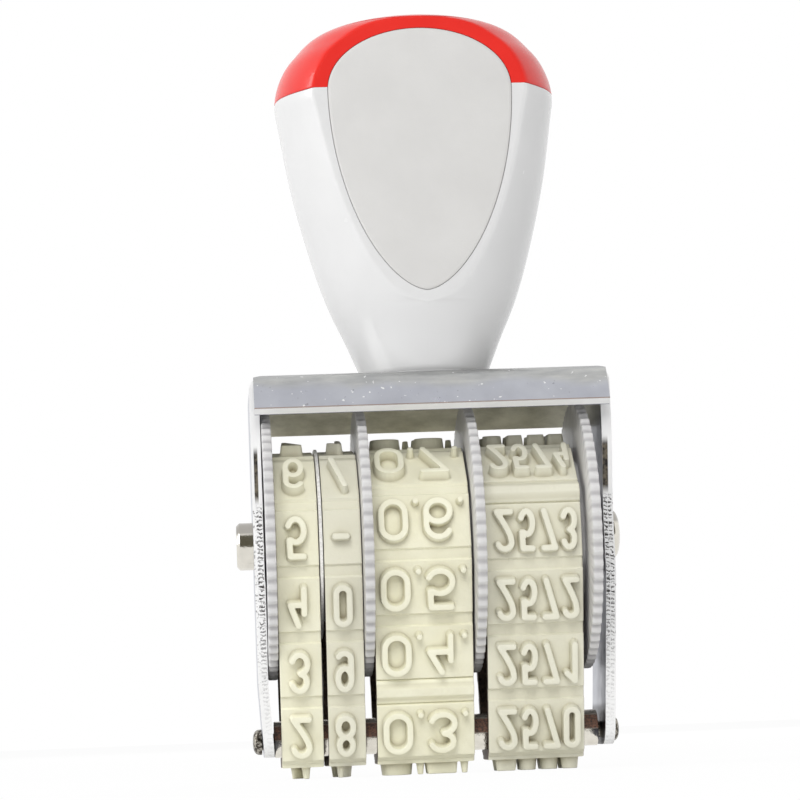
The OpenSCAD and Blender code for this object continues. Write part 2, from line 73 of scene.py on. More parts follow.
ROD_Z = PLATEN_Z + 0.45 * PLATEN_H
WHEEL_X = {"wheel_day_tens": -18.775, "wheel_day_units": -8.275,
           "wheel_month": 3.825, "wheel_year": 16.325}
BAND_X = {"band_day_tens": -17.625, "band_day_units": -12.475,
          "band_month": -7.125, "band_year": 5.125}
BAND_W = {"band_day_tens": 4.6, "band_day_units": 4.1, "band_month": 10.7, "band_year": 10.6}
HANDLE_H, HANDLE_R, NECK_R = 41.6, 15.9, 7.0
SEAM_H, PLATE_MID = 0.768 * HANDLE_H, 0.752 * HANDLE_H


def leg_face(leg, z):
    """Distance of a leg's outer face from the middle at a height."""
    knee, lean = leg
    return HALF_W - lean * max(0.0, (knee - z) / (knee - FOOT_Z))


# ---- materials
RAMP_SPAN = 50.0  # mm of height that a ramp's 0 to 1 stands for


def srgb(*levels):
    """Levels from 0 to 255, as a linear colour."""
    linear = [((c / 255 + 0.055) / 1.055) ** 2.4 if c > 10 else c / 3295 for c in levels]
    return (*linear, 1)


def feed(tree, value, socket):
    """Links a socket to another, or sets it to a value."""
    if isinstance(value, bpy.types.NodeSocket):
        tree.links.new(value, socket)
    else:
        socket.default_value = value


class Look:
    """A Principled material and short calls for the nodes that feed it. Sizes are in mm."""

    def __init__(self, name, **values):
        self.material = bpy.data.materials.new(name)
        self.material.use_nodes = True
        self.tree = self.material.node_tree
        self.shader = self.tree.nodes["Principled BSDF"]
        self.fill(self.shader, values)
        place = self.add("TexCoord")
        self.place = self.scaled(place.outputs["Object"], (1 / MM, 1 / MM, 1 / MM))

    def fill(self, node, values):
        for key, value in values.items():
            node.inputs[key.replace("_", " ")].default_value = value

    def add(self, kind, **values):
        node = self.tree.nodes.new("ShaderNode" + kind)
        self.fill(node, values)
        return node

    def join(self, a, b):
        self.tree.links.new(a, b)

    def scaled(self, vector, scale):
        node = self.add("Mapping", Scale=scale)
        self.join(vector, node.inputs["Vector"])
        return node.outputs["Vector"]

    def noise(self, size, detail=3.0, rough=0.55, stretch=(1, 1, 1)):
        node = self.add("TexNoise", Scale=1 / size, Detail=detail, Roughness=rough)
        self.join(self.scaled(self.place, stretch), node.inputs["Vector"])
        return node.outputs["Fac"]

    def fact(self, name):
        """A number that mark() stored on the mesh."""
        node = self.add("Attribute")
        node.attribute_name = name
        return node.outputs["Fac"]

    def axis(self, name):
        node = self.add("SeparateXYZ")
        self.join(self.place, node.inputs["Vector"])
        return node.outputs[name]

    def ramp(self, fac, *stops):
        node = self.add("ValToRGB")
        while len(node.color_ramp.elements) < len(stops):
            node.color_ramp.elements.new(0.5)
        for element, (at, value) in zip(node.color_ramp.elements, stops):
            element.position = at
            element.color = value if isinstance(value, tuple) else (value, value, value, 1)
        self.join(fac, node.inputs["Fac"])
        return node.outputs["Color"]

    def tones(self, fac, low, high, start=0.3, end=0.7):
        """One sRGB tone up to a level of fac, another from a higher level on."""
        return self.ramp(fac, (start, srgb(*low)), (end, srgb(*high)))

    def mix(self, fac, a, b):
        node = self.add("Mix")
        node.data_type = "RGBA"
        for value, index in ((fac, 0), (a, 6), (b, 7)):
            feed(self.tree, value, node.inputs[index])
        return node.outputs[2]

    def math(self, how, a, b=0.0):
        node = self.add("Math")
        node.operation = how
        feed(self.tree, a, node.inputs[0])
        feed(self.tree, b, node.inputs[1])
        return node.outputs[0]

    def times(self, a, b):
        return self.math("MULTIPLY", a, b)

    def plus(self, a, b):
        return self.math("ADD", a, b)

    def above(self, value, low):
        return self.math("GREATER_THAN", value, low)

    def below(self, value, high):
        return self.math("LESS_THAN", value, high)

    def between(self, value, low, high):
        return self.times(self.above(value, low), self.below(value, high))

    def color(self, value):
        self.join(value, self.shader.inputs["Base Color"])

    def metal(self, loss, share):
        """Takes a share of the metal off where loss is 1."""
        left = self.math("SUBTRACT", 1.0, self.times(loss, share))
        self.join(left, self.shader.inputs["Metallic"])

    def rough(self, fac, low, high):
        node = self.add("MapRange", To_Min=low, To_Max=high)
        self.join(fac, node.inputs["Value"])
        self.join(node.outputs["Result"], self.shader.inputs["Roughness"])

    def bump(self, height, depth):
        node = self.add("Bump", Distance=depth * MM, Strength=1.0)
        self.join(height, node.inputs["Height"])
        normal = self.shader.inputs["Normal"]
        if normal.is_linked:
            self.join(normal.links[0].from_socket, node.inputs["Normal"])
        self.join(node.outputs["Normal"], normal)


def rubber():
    """Cream rubber, greyer on two bands, with painted shade in the grooves, along the strokes' feet
    and between the strokes, and dark brown sides that are part soil and part painted shade.
    """
    look = Look("band_rubber", Roughness=0.55, Specular_IOR_Level=0.35)
    base = look.tones(look.noise(3.2, 4), (236, 233, 209), (243, 241, 219))
    side = look.axis("X")
    units, month, year = (BAND_X["band_" + key] for key in ("day_units", "month", "year"))
    older = look.plus(look.between(side, units - 0.4, month - 0.5), look.above(side, year - 0.5))
    base = look.mix(look.times(older, 0.6), base, srgb(220, 218, 204))
    stain = look.ramp(look.noise(1.1, 5, 0.65), (0.60, 0.0), (0.80, 0.22))
    tone = look.mix(stain, base, srgb(208, 201, 165))
    rise = look.fact("rise")
    # painted shade: darker where the rubber lies lowest, in the grooves and at the pads' edges
    groove_shade = look.ramp(rise, (0.0, 0.3), (0.055, 0.0))
    tone = look.mix(groove_shade, tone, srgb(208, 204, 180))
    # painted shade: a dark line along the strokes' feet and lower flanks
    foot = look.ramp(rise, (0.2, 0.0), (0.27, 0.4), (0.5, 0.1), (0.8, 0.0))
    tone = look.mix(foot, tone, srgb(196, 191, 166))
    # painted shade between close strokes and in the figures' counters
    hollow = look.ramp(look.fact("hollow"), (0.14, 0.0), (0.3, 0.16), (0.48, 0.4), (0.72, 0.85))
    tone = look.mix(hollow, tone, srgb(140, 128, 98))
    # dark brown band sides: part soil, part painted shade between band and wheel
    side_soil_and_shade = look.tones(look.noise(0.45, 4, 0.6), (50, 30, 27), (106, 84, 70), 0.35, 0.65)
    soiled_and_shaded_sides = look.ramp(look.fact("side"), (0.45, 0.0), (0.9, 0.92))
    look.color(look.mix(soiled_and_shaded_sides, tone, side_soil_and_shade))
    look.rough(look.noise(0.9), 0.42, 0.68)
    look.bump(look.noise(0.35, 4), 0.035)
    look.bump(look.noise(2.4, 2), 0.05)
    return look.material


def wheel_plastic():
    look = Look("wheel_plastic", Roughness=0.4, Specular_IOR_Level=0.45, Subsurface_Weight=0.35,
                Subsurface_Radius=(1, 1, 1), Subsurface_Scale=1.2 * MM)
    base = look.tones(look.noise(2.6), (202, 201, 201), (213, 212, 211), end=0.75)
    # painted shade in the rim's notches
    painted_notch_shade = look.ramp(look.fact("painted_notch_shade"), (0.5, 0.0), (1.0, 0.6))
    look.color(look.mix(painted_notch_shade, base, srgb(160, 158, 160)))
    look.rough(look.noise(1.3), 0.30, 0.52)
    look.bump(look.noise(0.5), 0.03)
    return look.material


def gloss(name, low, high, coat=0.3, specular=0.5):
    look = Look(name, Roughness=0.24, Specular_IOR_Level=specular, Coat_Weight=coat,
                Coat_Roughness=0.06)
    look.color(look.tones(look.noise(9, 2), low, high))
    look.rough(look.noise(4, 3), 0.2, 0.3)
    look.bump(look.noise(7, 2), 0.02)
    return look.material


def plate_plastic():
    look = Look("plate_plastic", Roughness=0.5, Specular_IOR_Level=0.4)
    look.color(look.tones(look.noise(6, 3), (203, 202, 200), (208, 207, 205)))
    look.rough(look.noise(1.2), 0.42, 0.6)
    look.bump(look.noise(0.22, 3), 0.012)
    return look.material


def plated(look, height, share, depth, lip):
    """The tone of the sheet's plated faces, with painted glints and painted shade; share is the
    height as a share of RAMP_SPAN.
    """
    base = look.tones(look.noise(5, 4), (182, 184, 193), (194, 196, 203))
    specks = look.ramp(look.noise(0.55, 2, 0.5), (0.70, 0.0), (0.76, 0.55))
    tone = look.mix(specks, base, srgb(120, 120, 130))
    crest = look.plus(share, look.times(look.noise(9, 2), 0.07))
    crest = look.ramp(crest, (0.872, 0.0), (0.892, 0.85))
    streaks = look.noise(1.1, 4, 0.6, (0.25, 1, 1))
    tone = look.mix(crest, tone, look.tones(streaks, (176, 177, 176), (206, 206, 202), 0.35))
    # painted glints: scattered white spots on the front lip's faces
    painted_glints = look.ramp(look.noise(0.5, 1, 0.3), (0.745, 0.0), (0.775, 0.9))
    tone = look.mix(look.times(painted_glints, look.below(depth, -8.0)), tone, srgb(246, 246, 246))
    # painted shade: a thin brown line just above the front lip's lower edge
    rim = look.times(lip, look.between(height, LIP_LOW - 0.02, LIP_LOW + 0.14))
    tone = look.mix(look.times(rim, 0.6), tone, srgb(150, 118, 88))
    inside = look.fact("inside")
    # painted shade on the legs' inner faces, towards their front edges and low down
    shade = look.ramp(look.math("DIVIDE", depth, -10.0), (0.28, 0.0), (0.42, 0.55))
    shade = look.times(shade, look.ramp(share, (0.2, 1.0), (0.3, 0.0)))
    tone = look.mix(look.times(inside, shade), tone, srgb(100, 104, 124))
    # painted shade: the legs' inner faces very dark at the bottom, behind the platen bar
    painted_low_shade = look.ramp(share, (0.132, 0.85), (0.142, 0.0))
    return look.mix(look.times(inside, painted_low_shade), tone, srgb(46, 46, 58))


def sheared(look, height, share, side, lip):
    """The tone of the sheet's cut edges, the marks across them, and painted shade along the inner
    corner of the front lip's edge.
    """
    right = look.above(side, 0.0)
    leans = [look.ramp(share, (FOOT_Z / RAMP_SPAN, lean), (knee / RAMP_SPAN, 0.0))
             for knee, lean in (LEFT, RIGHT)]
    across = look.plus(look.math("ABSOLUTE", side), look.mix(right, *leans))
    across = look.math("SUBTRACT", across, HALF_W - SHEET)

    def both(left, other):
        return look.mix(right, look.ramp(across, *left), look.ramp(across, *other))

    column = both([(0.06, 0.0), (0.14, 1.0), (0.66, 1.0), (0.76, 0.0)],
                  [(0.02, 0.0), (0.08, 1.0), (0.40, 1.0), (0.5, 0.0), (0.60, 1.0), (0.9, 1.0),
                   (0.98, 0.0)])
    phase = look.plus(look.times(height, 14.0), look.times(look.noise(0.5, 2), 13.0))
    phase = look.plus(phase, look.times(look.times(right, side), 3.0))
    tick = look.ramp(look.math("SINE", phase), (0.15, 0.0), (0.5, 1.0))
    tick = look.times(tick, look.ramp(look.noise(0.5, 2), (0.38, 0.35), (0.54, 1.0)))
    speck = look.ramp(look.noise(0.26, 2, 0.4), (0.60, 0.0), (0.66, 0.6))
    marks = look.math("MAXIMUM", look.times(tick, column), speck)
    strong = look.ramp(share, (0.12, 0.12), (0.24, 0.4), (0.37, 1.0), (0.59, 1.0), (0.605, 0.0))
    marks = look.times(marks, strong)
    tone = look.mix(marks, srgb(244, 244, 244), srgb(66, 63, 62))
    rust = look.ramp(share, (0.602, 0.0), (0.62, 1.0), (0.71, 1.0), (0.728, 0.0))
    scar = look.tones(look.noise(0.5, 3), (34, 30, 30), (112, 104, 90), 0.40, 0.62)
    scar_column = both([(0.36, 0.0), (0.42, 1.0), (0.78, 1.0), (0.84, 0.0)],
                       [(0.0, 0.7), (0.06, 1.0), (0.58, 1.0), (0.66, 0.0)])
    tone = look.mix(look.times(rust, scar_column), tone, scar)
    # painted shade along the inner corner of the front lip's cut edge
    painted_lip_edge_shade = look.times(lip, look.below(height, LIP_LOW - 0.52))
    return look.mix(look.times(painted_lip_edge_shade, 0.8), tone, srgb(66, 66, 104)), marks


def frame_steel():
    """Plated sheet, with pale rough metal where the sheet was cut, and a painted cream reflection
    of the bands on the back lip's inner face.
    """
    look = Look("frame_steel", Roughness=0.3)
    height, side, depth = (look.axis(name) for name in ("Z", "X", "Y"))
    share = look.math("DIVIDE", height, RAMP_SPAN)
    lip = look.below(depth, -8.8)
    cut, painted_reflection_faces = look.fact("cut"), look.fact("painted_reflection_faces")
    # painted reflection: the back lip's inner face tinted cream, as if reflecting the bands
    painted_band_reflection = look.noise(1.8, 4, 0.6, (0.5, 1, 1))
    painted_band_reflection = look.tones(painted_band_reflection, (205, 202, 184), (244, 241, 224), 0.35, 0.68)
    sheet = look.mix(painted_reflection_faces, plated(look, height, share, depth, lip), painted_band_reflection)
    section, marks = sheared(look, height, share, side, lip)
    look.color(look.mix(cut, sheet, section))
    plain = look.math("MAXIMUM", cut, painted_reflection_faces)
    look.metal(plain, 0.85)
    look.rough(look.math("MAXIMUM", look.times(look.noise(1.6, 4), 0.5), plain), 0.2, 0.7)
    look.bump(look.noise(1.8, 3), 0.03)
    look.bump(look.times(marks, cut), 0.05)
    return look.material


def bright_steel(name, low, high, base, pitted=0.0, metallic=1.0, pit=0.47, painted_dark_top=None):
    """Bare steel between two roughnesses; pits start at a noise level, and a painted dark
    reflection on the upper side starts at a height.
    """
    look = Look(name, Metallic=metallic, Roughness=0.2)
    darker = tuple(c * 0.88 for c in base[:3]) + (1,)
    tint = look.ramp(look.noise(1.4, 4), (0.3, darker), (0.7, base))
    if painted_dark_top:
        # painted reflection: the upper side darker above the given height
        share = look.math("DIVIDE", look.axis("Z"), RAMP_SPAN)
        top = look.ramp(share, (painted_dark_top / RAMP_SPAN, 0.0), (painted_dark_top / RAMP_SPAN + 0.006, 0.75))
        tint = look.mix(top, tint, srgb(150, 147, 142))
    pits = look.ramp(look.noise(0.3, 2), (pit, 0.0), (pit + 0.09, pitted))
    look.color(look.mix(pits, tint, srgb(58, 52, 46)))
    look.rough(look.noise(0.8, 3, stretch=(0.2, 1, 1)), low, high)
    look.bump(look.noise(0.5, 3), 0.02)
    return look.material


def platen_steel():
    """Polished bar with a grainy dark brown band along the upper front, a painted reflection."""
    look = Look("platen_steel", Metallic=1.0, Roughness=0.2)
    base = look.tones(look.noise(1.4, 4), (214, 209, 198), (230, 226, 215))
    painted_reflection_grain = look.tones(look.noise(0.22, 3, 0.6), (44, 26, 22), (138, 92, 70), 0.36, 0.66)
    share = look.math("DIVIDE", look.axis("Z"), 10.0)
    # painted reflection: a dark brown band along the bar's upper front
    stripe = look.ramp(share, (0.42, 0.0), (0.436, 1.0), (0.575, 1.0), (0.6, 0.25))
    stain = look.times(stripe, look.below(look.axis("Y"), -0.5))
    look.color(look.mix(look.times(stain, 0.92), base, painted_reflection_grain))
    look.metal(stain, 0.7)
    look.rough(look.math("MAXIMUM", look.times(look.noise(0.8, 3), 0.25), stain), 0.08, 0.5)
    look.bump(look.noise(0.25, 3), 0.015)
    return look.material


RUBBER = rubber()
WHEEL = wheel_plastic()
WHITE = gloss("handle_white", (214, 214, 214), (219, 219, 219))
RED = gloss("handle_red", (216, 42, 36), (224, 48, 40), 0.1, 0.3)
PLATE = plate_plastic()
STEEL = frame_steel()
PLATEN = platen_steel()
BRIGHT = bright_steel("bright_steel", 0.08, 0.2, srgb(228, 224, 214))
DULL = bright_steel("dull_steel", 0.28, 0.46, srgb(200, 199, 196), 0.85)
DIVIDER = bright_steel("divider_steel", 0.35, 0.5, srgb(250, 249, 245), 0.15, 0.05)
# The axle's upper side gets a painted dark reflection.
AXLE = bright_steel("axle_steel", 0.08, 0.2, srgb(228, 224, 214), painted_dark_top=AXLE_Z + 1.1)
HEAD = bright_steel("head_steel", 0.25, 0.45, srgb(176, 171, 160), 0.92, pit=0.44)


# ---- mesh helpers
def mesh_of(name, verts, faces):
    mesh = bpy.data.meshes.new(name)
    mesh.from_pydata((np.asarray(verts, float) * MM).tolist(), [],
                     [list(map(int, f)) for f in faces])
    mesh.update()
    return mesh


def rework(mesh, *steps):
    """Runs bmesh steps on a mesh."""
    bm = bmesh.new()
    bm.from_mesh(mesh)
    for step in steps:
        step(bm)
    bm.to_mesh(mesh)
    bm.free()
    return mesh


def weld(gap):
    return lambda bm: bmesh.ops.remove_doubles(bm, verts=bm.verts, dist=gap * MM)


def outward(bm):
    bmesh.ops.recalc_face_normals(bm, faces=bm.faces)


def closed_up(mesh):
    return rework(mesh, weld(0.0005), outward)


def placed(name, data):
    obj = bpy.data.objects.new(name, data)
    scene.collection.objects.link(obj)
    return obj


def dress(mesh, material, angle):
    """One material, smooth except where faces meet at more than an angle."""
    mesh.materials.clear()
    mesh.materials.append(material)
    mesh.polygons.foreach_set("use_smooth", [True] * len(mesh.polygons))
    mesh.set_sharp_from_angle(angle=radians(angle))


def piece(name, mesh, material, node, body=ROOT, angle=32):
    """A finished piece that rides on a body and stands for one CAD node."""
    dress(mesh, material, angle)
    obj = placed(name, mesh)
    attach(obj, body)
    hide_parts(node)
    return obj


def mark(mesh, name, values, domain="POINT"):
    """Stores one number for each point or face, for a material to read."""
    store = mesh.attributes.new(name, "FLOAT", domain)
    store.data.foreach_set("value", np.asarray(values, np.float32))


def curve(a, b, c, t):
    """A quadratic curve from a to c, pulled towards b."""
    return (1 - t) ** 2 * a + 2 * t * (1 - t) * b + t * t * c


def soften(points, radius):
    """Rounds each corner of a closed 2D outline with a short curve."""
    points = [np.array(p, float) for p in points]
    out = []
    for i, p in enumerate(points):
        a, b = points[i - 1] - p, points[(i + 1) % len(points)] - p
        la, lb = np.linalg.norm(a), np.linalg.norm(b)
        turn = np.cross(-a / la, b / lb)
        reach = min(radius, 0.45 * la, 0.45 * lb)
        if abs(turn) < 0.15 or reach < 1e-4:
            out.append(p)
            continue
        start, end = p + a / la * reach, p + b / lb * reach
        out += [curve(start, p, end, t) for t in np.linspace(0, 1, 5)]
    return np.array(out)


def loft(rings, cyclic=False):
    """Faces between rings of equal length; the end rings become faces unless cyclic."""
    rings = [np.asarray(r, float) for r in rings]
    n, last = len(rings[0]), len(rings) - 1
    pairs = [(k, k + 1) for k in range(last)] + ([(last, 0)] if cyclic else [])
    faces = [(a * n + i, a * n + (i + 1) % n, b * n + (i + 1) % n, b * n + i)
             for a, b in pairs for i in range(n)]
    if not cyclic:
        faces.append(tuple(range(n))[::-1])
        faces.append(tuple(last * n + i for i in range(n)))
    return np.concatenate(rings), faces


def at_x(outline, x):
    """A [y, z] outline placed at x."""
    return np.column_stack([np.full(len(outline), x), outline[:, 0], outline[:, 1]])


def at_y(outline, y):
    """An [x, z] outline placed at y."""
    return np.column_stack([outline[:, 0], np.full(len(outline), y), outline[:, 1]])


def inset(outline, d):
    """Moves a closed outline inward by d along its corners' normals. Outlines run anticlockwise."""
    before, after = np.roll(outline, 1, 0), np.roll(outline, -1, 0)

    def normal(v):
        v = v / np.maximum(np.linalg.norm(v, axis=1, keepdims=True), 1e-9)
        return np.column_stack([-v[:, 1], v[:, 0]])

    a, b = normal(outline - before), normal(after - outline)
    return outline + d * (a + b) / (1 + (a * b).sum(1, keepdims=True))


def rounding(edge, steps):
    """Steps of a quarter round, from a flat end: how far in, and how far along."""
    turns = [radians(90 * k / steps) for k in range(steps + 1)]
    return [(edge * (1 - sin(t)), edge * (1 - cos(t))) for t in turns]


def slab(outline, lo, hi, edge, place):
    """An extruded outline with small round edges at both ends."""
    steps = rounding(edge, 2)
    rings = [place(inset(outline, d), lo + e) for d, e in steps]
    return loft(rings + [place(inset(outline, d), hi - e) for d, e in steps[::-1]])


def lathe(profile, z, n):
    """Turns a closed [radius, x] profile about the line along X at height z."""
    m = len(profile)
    verts = np.array([[p[1], p[0] * cos(t), z + p[0] * sin(t)]
                      for t in np.linspace(0, 2 * pi, n, endpoint=False) for p in profile])
    faces = [
        (a * m + i, a * m + (i + 1) % m, ((a + 1) % n) * m + (i + 1) % m, ((a + 1) % n) * m + i)
        for a in range(n) for i in range(m)
    ]
    return verts, faces


def turned(name, node, profile, z, material, radius, n):
    """A turned piece whose profile starts and ends on the axis or closes on itself."""
    mesh = closed_up(mesh_of(name, *lathe(soften(profile, radius), z, n)))
    piece(name, mesh, material, node)


DOME_POWER = 2 / 2.8  # below 1: fuller than a plain round


def dome(r, h, edge, x, way=1):
    """Profile points of a flattened domed head that rises from x."""
    turn = [radians(a) for a in range(0, 91, 6)]
    return [(r * cos(a) ** DOME_POWER,
             x + way * (edge + (h - edge) * sin(a) ** DOME_POWER)) for a in turn]


# ---- figures
def arc(cx, cy, rx, ry, a0, a1, n=12):
    t = np.radians(np.linspace(a0, a1, n + 1))
    return [tuple(p) for p in np.column_stack([cx + rx * np.cos(t), cy + ry * np.sin(t)])]


def sweep(a, b, c):
    return [tuple(curve(np.array(a), np.array(b), np.array(c), t)) for t in np.linspace(0, 1, 9)]


def figure(sign, w, h):
    """Centre lines of a plain rounded figure in a box of w by h."""
    r = w / 2
    six = [arc(r, 0.29 * h, r, 0.29 * h, 0, 360, 24),
           [(0, 0.29 * h)] + arc(r, h - r, r, r, 180, 30)]
    shapes = {
        "0": [arc(r, h - r, r, r, 0, 180) + arc(r, r, r, r, 180, 360) + [(w, h - r)]],
        "1": [[(0.1 * w, 0.79 * h), (0.8 * w, h), (0.8 * w, 0)]],
        "2": [arc(r, h - r, r, r, 165, -18)
              + sweep((0.93 * w, 0.66 * h), (0.75 * w, 0.46 * h), (0, 0)) + [(w, 0)]],
        "3": [arc(0.47 * w, 0.765 * h, 0.47 * w, 0.235 * h, 160, -80)
              + arc(0.5 * w, 0.265 * h, 0.5 * w, 0.265 * h, 80, -160)],
        "4": [[(0.5 * w, h), (0, 0.43 * h), (0.88 * w, 0.43 * h)],
              [(0.88 * w, 0.68 * h), (0.88 * w, 0)]],
        "5": [[(0.95 * w, h), (0.1 * w, h), (0.06 * w, 0.56 * h)]
              + arc(0.48 * w, 0.31 * h, 0.52 * w, 0.31 * h, 125, -155, 18)],
        "6": six,
        "7": [[(0, h), (w, h), (0.1 * w, 0)]],
        "8": [arc(r, 0.265 * h, 1.12 * r, 0.265 * h, 0, 360, 24),
              arc(r, 0.765 * h, r, 0.235 * h, 0, 360, 24)],
        "9": [[(w - x, h - y) for x, y in line] for line in six],
        "-": [[(0.05 * w, 0.5 * h), (0.95 * w, 0.5 * h)]],
        "/": [[(0.05 * w, 0), (0.95 * w, h)]],
        ".": [[(r, 0), (r, 0.001)]],
    }
    return shapes[sign]


TOP_HALF, FLARE = 0.30, 0.14  # half width of a stroke's face, and its flank's spread
STROKE_FOOT = TOP_HALF + FLARE


def strokes(text, columns):
    """Segments [x0, u0, x1, u1] of a pad's characters, mirrored top to bottom."""
    out = []
    for sign, (left, width) in zip(text, columns):
        w, h = max(width - 2 * TOP_HALF, 0.01), TYPE_H - 2 * TOP_HALF
        for line in figure(sign, w, h):
            pts = [(left + TOP_HALF + x, h / 2 - y) for x, y in line]
            out += [(*a, *b) for a, b in zip(pts, pts[1:])]
    return np.array(out)


def nearest(segments, x, u):
    """Distance from each point to the closest segment, and the closest points."""
    best = np.full(x.shape, 1e9)
    near_x, near_u = np.zeros_like(x), np.zeros_like(u)
    for x0, u0, x1, u1 in segments:
        dx, du = x1 - x0, u1 - u0
        t = np.clip(((x - x0) * dx + (u - u0) * du) / (dx * dx + du * du + 1e-12), 0, 1)
        px, pu = x0 + t * dx, u0 + t * du
        d = np.hypot(x - px, u - pu)
        closer = d < best
        best = np.where(closer, d, best)
        near_x, near_u = np.where(closer, px, near_x), np.where(closer, pu, near_u)
    return best, near_x, near_u


def blurred(a):
    """A field smoothed over the neighbours within 8 cells."""
    kernel = np.convolve(np.ones(9), np.ones(9)) / 9 ** 2
    for way in (0, 1):
        a = np.apply_along_axis(np.convolve, way, a, kernel, "same")
    return a


def ease(t):
    t = np.clip(t, 0, 1)
    return t * t * (3 - 2 * t)


# ---- bands
CELL = 0.115  # spacing of a band's points
EDGE, EDGE_DROP = 0.14, 0.09  # width and depth of a band's round edge
PAD_HALF = (PITCH - GROOVE) / 2
GROOVE_ROWS = [-3.54, -3.43, -3.32, -3.22, -3.14, -3.08, -3.02, -2.96, -2.9, -2.83]
BAR_FROM = 2.7  # a splice bar's slope begins this far from a pad's middle
BAR_END = 1.34  # and ends this far from the bar's middle line
CUT_AT, CUT_W, CUT_D = 1.38, 0.08, 0.32  # place, width and depth of the cut beside a splice bar
FILLET, CREST = 0.07, 0.05  # rise at a stroke's foot, and drop at its face's edge
FLANK_RISE = RELIEF - 0.12
RIPPLE = 0.025  # waviness of a splice bar's crest
WANDER = {"band_day_units": -0.3}  # a band's back run may lie a little to one side


def band_path(front, drum, back):
    """The line on which a band bends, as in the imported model."""
    hinge_f, hinge_b = np.array([-PITCH / 2, HINGE_Z]), np.array([PITCH / 2, HINGE_Z])
    centre = np.array([0.0, AXLE_Z])
    span = np.linalg.norm(hinge_f - centre)
    s = sum(front)
    angle = acos((span ** 2 + CHORD_R ** 2 - s ** 2) / (2 * span * CHORD_R)) \
        - atan2(AXLE_Z - HINGE_Z, PITCH / 2)

    def on(a):
        return centre + CHORD_R * np.array([-cos(a), sin(a)])

    start = on(angle)
    points = [hinge_f + (start - hinge_f) * sum(front[:i]) / s for i in range(len(front))]
    for length in drum:
        points.append(on(angle))
        angle += 2 * asin(length / (2 * CHORD_R))
    last = on(angle)
    points += [last + (hinge_b - last) * sum(back[:i]) / sum(back) for i in range(len(back))]
    points.append(hinge_b)
    return points, list(front) + list(drum) + list(back) + [PITCH]


def splice_rise(s):
    """Height of the splice bar at a distance from its middle line: ridge, hollow slopes, cut."""
    slope = np.clip((s - 0.42) / 0.9, 0, 1)
    bar = CROWN - 0.1 + (SPLICE_RISE + 0.1) * (1 - slope) ** 1.6
    pad = CROWN * ease((s - BAR_END) / 0.08)
    return np.where(s < BAR_END, bar, pad) - CUT_D * np.exp(-((s - CUT_AT) / CUT_W) ** 2)


def rows_of(kind):
    """Where a facet's rows of points lie, from its middle; kind is its length."""
    half = kind / 2
    if kind != PITCH:
        return np.linspace(-half, half, 21)[:-1]
    left, reach = np.array([-half] + GROOVE_ROWS), PAD_HALF - 0.24
    mid = np.linspace(-reach, reach, round(2 * reach / CELL) + 1)
    return np.concatenate([left, mid, -left[::-1]])[:-1]


def raised(x, u, side, marks):
    """Points drawn to the strokes' edges, their lift, and how deep they lie between strokes."""
    d, nx, nu = nearest(marks, x, u)
    for level in (TOP_HALF, STROKE_FOOT):
        off = d - level
        move = (np.abs(off) < 0.46 * CELL) & (np.abs(u) < 2.9) & (side > 0.1)
        k = np.where(move, off / np.maximum(d, 1e-6), 0)
        x, u = x - k * (x - nx), u - k * (u - nu)
        d, nx, nu = nearest(marks, x, u)
    flank = np.clip((STROKE_FOOT - d) / FLARE, 0, 1)
    foot = FILLET * np.clip(1 - (d - TOP_HALF - FLARE) / 0.14, 0, 1) ** 2
    face = flank > 0.99
    crest = -CREST * np.clip((d - TOP_HALF + 0.1) / 0.1, 0, 1) ** 2 * face
    lift = np.where(flank > 0, FILLET + FLANK_RISE * flank + crest, foot)
    lift = np.where(face, RELIEF + crest, lift)
    return x, u, lift, blurred((flank > 0.5).astype(float)) * (1 - flank)


def along(path, way, reach, i, u, half):
    """A facet's points on the band's path, its corners rounded, and the path's direction there."""
    j = (i + 1) % len(path)
    mid = (path[i] + path[j]) / 2
    spot = [mid[k] + way[i][k] * u for k in (0, 1)]
    tan = [np.full_like(u, way[i][k]) for k in (0, 1)]
    first = 0.5 + 0.5 * (u + half) / reach[i]
    last = 0.5 * (1 - (half - u) / reach[j])
    for corner, da, db, c, q, inside in (
        (path[i], way[i - 1], way[i], reach[i], first, (first >= 0.5) & (first < 1)),
        (path[j], way[i], way[j], reach[j], last, (last > 0) & (last < 0.5)),
    ):
        p0, p1 = corner - da * c, corner + db * c
        for k in (0, 1):
            slope = 2 * (1 - q) * (corner[k] - p0[k]) + 2 * q * (p1[k] - corner[k])
            spot[k][inside] = curve(p0[k], corner[k], p1[k], q)[inside]
            tan[k][inside] = slope[inside]
    size = np.linalg.norm(tan, axis=0)
    return *spot, tan[0] / size, tan[1] / size


